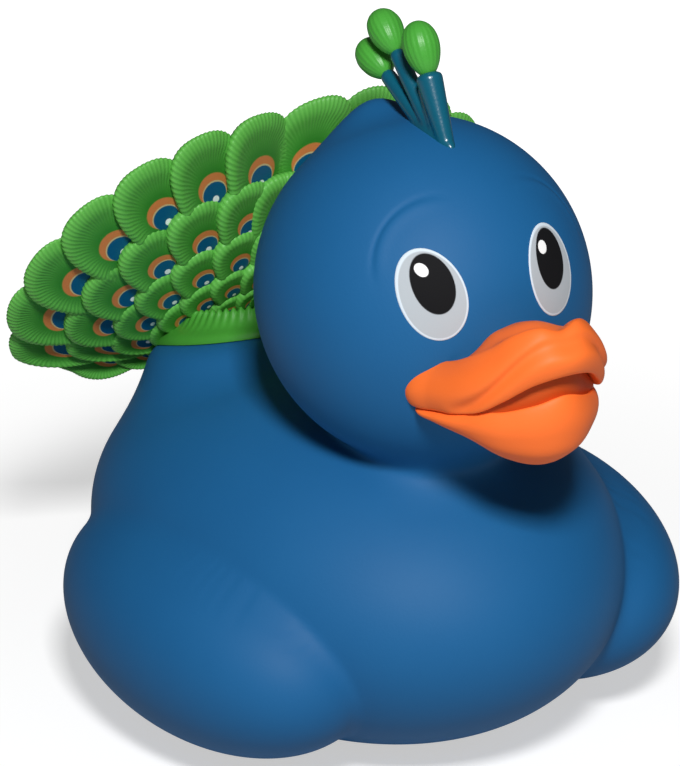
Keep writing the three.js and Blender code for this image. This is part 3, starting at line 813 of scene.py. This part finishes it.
# %% The feathers' paint, and five rows
def feather_print_and_ridge_light(tree, colour):
    """Painted highlight on the rim and ribs over a darker hollow, and the eyespot: amber, a cream line,
    teal and a white dot.
    """
    place = put(tree, "ShaderNodeAttribute", attribute_name="pattern").outputs["Vector"]
    height = put(tree, "ShaderNodeSeparateXYZ", {0: place}).outputs[2]
    # Mixing toward pale green by that height paints highlight on the rim and ribs and leaves the hollow
    # darker as painted shade.
    ridge_light = put(tree, "ShaderNodeMapRange", {"Value": height, "From Min": 0.4, "From Max": 1.15})
    colour = blend(tree, ridge_light.outputs[0], colour, linear(100, 182, 78))
    colour, spot = paint_disc(tree, place, (0, 0.1), (0.43, 0.41), 0.05, colour, linear(200, 124, 66))
    cream = linear(196, 184, 132)
    colour, _ = paint_disc(tree, place, (0, -0.045), (0.365, 0.35), 0.03, colour, cream, within=spot)
    colour, _ = paint_disc(tree, place, (0, -0.06), (0.345, 0.325), 0.04, colour, linear(0, 84, 122))
    colour, _ = paint_disc(tree, place, (0, -0.2), (0.095, 0.095), 0.14, colour, linear(238, 246, 246))
    return colour


feather_vinyl = vinyl("feather vinyl", linear(50, 134, 40), linear(38, 112, 30), 0.4, 0.52, 0.02,
                      scale=200.0, painted=feather_print_and_ridge_light)
for i, row in enumerate(FEATHER_ROWS):
    made = [feather(row, angle) for angle in feather_angles(row)]
    grids, patterns = (np.array(each) for each in zip(*made))
    settle(skin(f"feathers_{i + 1}", grids, feather_vinyl, patterns), "feather_vinyl", "tail_fan")

# %% [markdown]
# ## Backing sheet
# The feathers stand on one sheet. A Solidify modifier would leave its edge square. So its section is a
# flat rounded loop carried round by the angle, with fine rays on the back where the mould was cut. The
# loop flattens to nothing at both ends, which closes the sheet.

# %% Backing sheet
FAN_END = 113
BACKING_HALF, BACKING_THINNER = 0.9, 0.7
BACKING_MIDDLE, BACKING_HALF_LENGTH, BACKING_CORNER = 0.44, 0.42, 0.4
RAY_DEPTH, RAY_COUNT = 0.25, 22
green_vinyl = vinyl("green vinyl", linear(70, 152, 52), linear(52, 128, 40), 0.42, 0.54, 0.02, scale=120.0)
angle = np.linspace(-FAN_END, FAN_END, 200)[:, None]
loop = np.linspace(0, 2 * math.pi, 48, endpoint=False)[None, :]
end = np.sqrt(np.clip(1 - (angle / FAN_END) ** 20, 0, 1))
rounded = np.sign(np.cos(loop)) * np.abs(np.cos(loop)) ** BACKING_CORNER
reach = BACKING_MIDDLE + BACKING_HALF_LENGTH * rounded
ray = RAY_DEPTH * np.abs(np.sin(np.radians(angle) * RAY_COUNT)) * (np.sin(loop) < 0)
front = BACKING_HALF - BACKING_THINNER * smoothstep(0.55, 0.8, reach)
half = np.sign(np.sin(loop)) * np.abs(np.sin(loop)) ** 0.5
lift = (np.where(half > 0, front, BACKING_HALF) * half - ray) * end
backing = skin("fan_backing", fan_point(angle + 0 * loop, reach + 0 * angle, lift)[None], green_vinyl)
settle(backing, "feather_vinyl", "tail_fan")

# %% [markdown]
# ## The pad under the fan
# The fan grows out of a green cushion glued to the sloping top of the tail. It has a smooth edge band, a
# ribbed collar that stands up inside it, and a shallow valley behind the collar. Rings from a torus would
# not follow the slope, so each is a height over the body's own skin: a bell curve in t, the share of the
# way from the pad's middle to its edge.

# %% Pad
PAD_CENTRE, PAD_RADII, PAD_HEIGHT = (0, 24), (14.7, 15.2), 2.0
PAD_ROWS, PAD_COLUMNS = 60, 336
PAD_GAP, PAD_RAYS_FROM = 0.15, 40.0
COLLAR_HEIGHT, COLLAR_AT, COLLAR_WIDTH = 2.1, 0.72, 0.085
COLLAR_RIB, COLLAR_RIBS = 0.32, 60
VALLEY_DEPTH, VALLEY_AT, VALLEY_WIDTH = 0.9, 0.5, 0.12
t = np.concatenate([np.linspace(0, 1, PAD_ROWS), [1.0, 0.97, 0.5, 0.0]])[:, None]
around = np.linspace(0, 2 * math.pi, PAD_COLUMNS, endpoint=False)[None, :]
x = PAD_CENTRE[0] + t * PAD_RADII[0] * np.sin(around)
y = PAD_CENTRE[1] - t * PAD_RADII[1] * np.cos(around)
cushion = PAD_HEIGHT * np.sqrt(np.clip(1 - t**6, 0, 1))
collar = COLLAR_HEIGHT + COLLAR_RIB * np.cos(around * COLLAR_RIBS)
wave = collar * np.exp(-(((t - COLLAR_AT) / COLLAR_WIDTH) ** 2))
valley = -VALLEY_DEPTH * np.exp(-(((t - VALLEY_AT) / VALLEY_WIDTH) ** 2))
on_top = (np.arange(len(t)) < PAD_ROWS)[:, None]
rise = PAD_GAP + (cushion + wave + valley) * on_top
pad_grid = out_to_body(np.stack([x, y, 0 * x + PAD_RAYS_FROM], -1), (0, 0, 1), far=20.0)
pad_grid[..., 2] += rise
settle(skin("tail_pad", pad_grid[None], green_vinyl), "feather_vinyl", "tail_fan")

# %% [markdown]
# ## The crest
# Three stalks grow out of one long foot, with a web behind the front one, and end in ribbed buds.
# Metaballs would swell where they meet, so foot, web and stalks are tapered balls.

# %% Crest stalks and foot
STALKS = [
    dict(path=[(-28.8, 89.2), (-23, 99.8)], radii=(1.0, 1.9), bud=(2.5, 3.9)),
    dict(path=[(-25.0, 91.6), (-14.6, 100.5)], radii=(1.3, 1.1), bud=(2.4, 3.5)),
    dict(path=[(-23.0, 91.6), (-12.1, 96.5)], radii=(1.3, 1.1), bud=(2.4, 3.5)),
]
WEB = dict(path=[(-27.2, 90.0), (-21.8, 97.6)], radii=(1.3, 0.9))
FOOT_CENTRE, FOOT_RADII, FOOT_PITCH = (0, -24.2, 91.3), (1.6, 5.6, 1.9), 8


def ball_angles(rows, columns):
    """Angles from pole to pole down the rows and once round along the columns."""
    return (
        np.linspace(0, math.pi, rows)[:, None],
        np.linspace(0, 2 * math.pi, columns, endpoint=False)[None, :],
    )


def along_path(path, around):
    """Both ends of a straight path of two (y, z) points, its unit vector, and unit circles square to it."""
    start, end = (np.array([0, *p]) for p in path)
    along = (end - start) / np.linalg.norm(end - start)
    side = np.array([1.0, 0, 0])
    ring = np.cos(around)[..., None] * side + np.sin(around)[..., None] * np.cross(along, side)
    return start, end, along, ring


def stalk(path, radii):
    """Circles along the path, with a radius that goes evenly from the first to the second and rounds off
    at both ends."""
    theta, around = ball_angles(24, 32)
    start, end, _, ring = along_path(path, around)
    share = (1 - np.cos(theta)) / 2
    radius = np.minimum(1, 2.2 * np.sin(theta)) * (radii[0] + (radii[1] - radii[0]) * share)
    return start + (end - start) * share[..., None] + ring * radius[..., None]


def foot():
    """A long low ellipsoid, pitched to lie on the head."""
    theta, around = ball_angles(24, 32)
    ball = np.stack([
        np.sin(theta) * np.sin(around), np.sin(theta) * np.cos(around), np.cos(theta) + 0 * around,
    ], -1)
    return (ball * FOOT_RADII) @ turn(pitch=FOOT_PITCH).T + FOOT_CENTRE


balls = [foot(), stalk(**WEB)] + [stalk(s["path"], s["radii"]) for s in STALKS]
stalks = skin("crest_stalks", np.array(balls), stalk_vinyl)

# %% [markdown]
# The balls still cross each other inside. Booleans would join them with sharp seams, so they are remeshed
# as one closed skin and smoothed.

# %% Melting the stalks into one
MELT_VOXEL, MELT_ROUNDS = 0.16, 12


def melted(piece, voxel, rounds):
    """One closed skin round all the balls of a piece: a voxel remesh, then rounds of smoothing."""
    remesh = piece.modifiers.new("melt", "REMESH")
    remesh.mode = "VOXEL"
    remesh.voxel_size = voxel * MM
    smooth = piece.modifiers.new("smooth", "SMOOTH")
    smooth.factor = 0.5
    smooth.iterations = rounds
    bpy.context.view_layer.update()
    made = bpy.data.meshes.new_from_object(piece.evaluated_get(bpy.context.evaluated_depsgraph_get()))
    piece.modifiers.clear()
    piece.data = made
    made.shade_smooth()
    print(f"{piece.name}: melted into {len(made.polygons)} faces")
    return piece


settle(melted(stalks, MELT_VOXEL, MELT_ROUNDS), "crest_vinyl", "head_crest")

# %% [markdown]
# The buds are dipped in green paint and moulded with soft ribs from stalk to tip. They stay separate
# balls, so the edge between green and teal is sharp.

# %% Buds
BUD_RIBS, BUD_RIB_SHARE = 20, 0.012


def bud_ball(path, bud):
    """A ball longer than wide at the end of its path. Its width is the sine of the row's angle, a little
    less toward the stalk, times a ripple for the ribs."""
    theta, around = ball_angles(60, 120)
    _, end, along, ring = along_path(path, around)
    half_width, half_length = bud
    rib = 1 + BUD_RIB_SHARE * np.cos(around * BUD_RIBS) * np.sin(theta)
    width = half_width * rib * np.sin(theta) * (1 - 0.15 * np.cos(theta))
    centre = end + along * half_length * 0.8
    return centre - along * (np.cos(theta) * half_length + 0 * around)[..., None] + ring * width[..., None]


buds = skin("crest_buds", np.array([bud_ball(s["path"], s["bud"]) for s in STALKS]), bud_vinyl)
settle(buds, "crest_vinyl", "head_crest")

# %% [markdown]
# ## The squeaker valve
# A turned plug with a whistle hole, under the base. The CAD node has the right shape already, so it stays
# as it is and gets a finish that takes the light.

# %% Valve finish
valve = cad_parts["squeaker_valve"]
valve.data.materials.clear()
valve.data.materials.append(valve_plastic)
print("valve:", len(valve.data.polygons), "faces, finish", valve_plastic.name)

# %% [markdown]
# ## Floor and world
# The photo's background is pure white. A floor lit to pure white would light the duck from below and lose
# its shadow. So the floor is a light grey to the duck and goes to white for the camera.

# %% Floor
FLOOR_HALF = 3.0


def backdrop_white(name, plain):
    """A plain surface for light. The camera's own rays add a glow that grows from under the duck outward,
    so the floor goes to pure white and still shows the duck's shadow."""
    material = bpy.data.materials.new(name)
    material.use_nodes = True
    tree = material.node_tree
    shader = tree.nodes["Principled BSDF"]
    shader.inputs["Base Color"].default_value = plain
    shader.inputs["Roughness"].default_value = 0.9
    shader.inputs["Specular IOR Level"].default_value = 0.0
    place = put(tree, "ShaderNodeTexCoord").outputs["Object"]
    away = put(tree, "ShaderNodeVectorMath", {0: place}, operation="LENGTH").outputs["Value"]
    glow = put(tree, "ShaderNodeMapRange", {
        "Value": away, "From Min": 0.05, "From Max": 0.3, "To Min": 0.55, "To Max": 1.0,
    }, interpolation_type="SMOOTHSTEP")
    seen = put(tree, "ShaderNodeLightPath").outputs["Is Camera Ray"]
    shader.inputs["Emission Color"].default_value = (1, 1, 1, 1)
    plug(tree, calc(tree, "MULTIPLY", glow.outputs[0], seen), shader.inputs["Emission Strength"])
    return material


floor_mesh = bpy.data.meshes.new("floor")
corners = [(x * FLOOR_HALF, y * FLOOR_HALF, 0) for x, y in ((-1, -1), (1, -1), (1, 1), (-1, 1))]
floor_mesh.from_pydata(corners, [], [(0, 1, 2, 3)])
floor_mesh.materials.append(backdrop_white("floor", linear(205, 205, 205)))
floor = bpy.data.objects.new("floor", floor_mesh)
bpy.context.scene.collection.objects.link(floor)
print("floor:", FLOOR_HALF * 2, "m across")

# %% [markdown]
# The world lights from all around. A Light Path node tells whether the camera looks at it, and then it is
# white. To the duck it is faint, so the shaded side stays dark.

# %% World
WORLD_LIGHT = 0.06
world = bpy.data.worlds.new("studio")
bpy.context.scene.world = world
world.use_nodes = True
sky = world.node_tree.nodes["Background"]
paths = put(world.node_tree, "ShaderNodeLightPath")
seen = paths.outputs["Is Camera Ray"]
strength = calc(world.node_tree, "MULTIPLY_ADD", seen, 1 - WORLD_LIGHT, WORLD_LIGHT)
plug(world.node_tree, strength, sky.inputs[1])
sky.inputs[0].default_value = (1, 1, 1, 1)
print("world light:", WORLD_LIGHT)

# %% [markdown]
# ## Camera
# The camera could be set by eye. Its direction, distance and scale were fitted instead, to points on the
# photo such as the eyes and the corners of the bill.

# %% Camera
PX_PER_MM, CAMERA_AWAY = 7.05, 700.0
IMAGE_WIDTH, SENSOR_WIDTH = 680, 36
LOOK_AT = [0, 0, 46.43]
AZIMUTH, ELEVATION = 30.73, 22.49
target = to_frame(LOOK_AT)
a, e = math.radians(AZIMUTH), math.radians(ELEVATION)
back = Vector((-math.sin(a) * math.cos(e), -math.cos(a) * math.cos(e), math.sin(e)))
camera_data = bpy.data.cameras.new("camera")
camera_data.sensor_fit = "HORIZONTAL"
camera_data.sensor_width = SENSOR_WIDTH
camera_data.lens = PX_PER_MM * CAMERA_AWAY / IMAGE_WIDTH * SENSOR_WIDTH


def stand(name, data, offset, aim):
    """A camera or lamp at an offset from the target, looking back along the unit vector aim."""
    thing = bpy.data.objects.new(name, data)
    bpy.context.scene.collection.objects.link(thing)
    thing.location = Vector(target) + offset
    thing.rotation_mode = "QUATERNION"
    thing.rotation_quaternion = (-aim).to_track_quat("-Z", "Y")
    return thing


bpy.context.scene.camera = stand("camera", camera_data, back * CAMERA_AWAY * MM, back)
bpy.context.scene.view_settings.view_transform = "Standard"
print("lens in mm:", round(camera_data.lens, 1))

# %% [markdown]
# ## Lamp
# The photo was lit from above the lens, and the bill throws a crisp shadow on the breast. A wide soft box
# would blur that shadow, so a small one stands over the camera.

# %% Lamp
KEY_RIGHT, KEY_UP, KEY_AWAY, KEY_SIZE, KEY_WATTS = 0.06, 0.47, 0.8, 0.12, 6.4
right = Vector((math.cos(a), -math.sin(a), 0))
aim = (back + right * KEY_RIGHT + Vector((0, 0, KEY_UP))).normalized()
key_data = bpy.data.lights.new("key", "AREA")
key_data.shape = "SQUARE"
key_data.size = KEY_SIZE
key_data.energy = KEY_WATTS
key = stand("key", key_data, aim * KEY_AWAY, aim)
print("key lamp at:", [round(v, 3) for v in key.location])
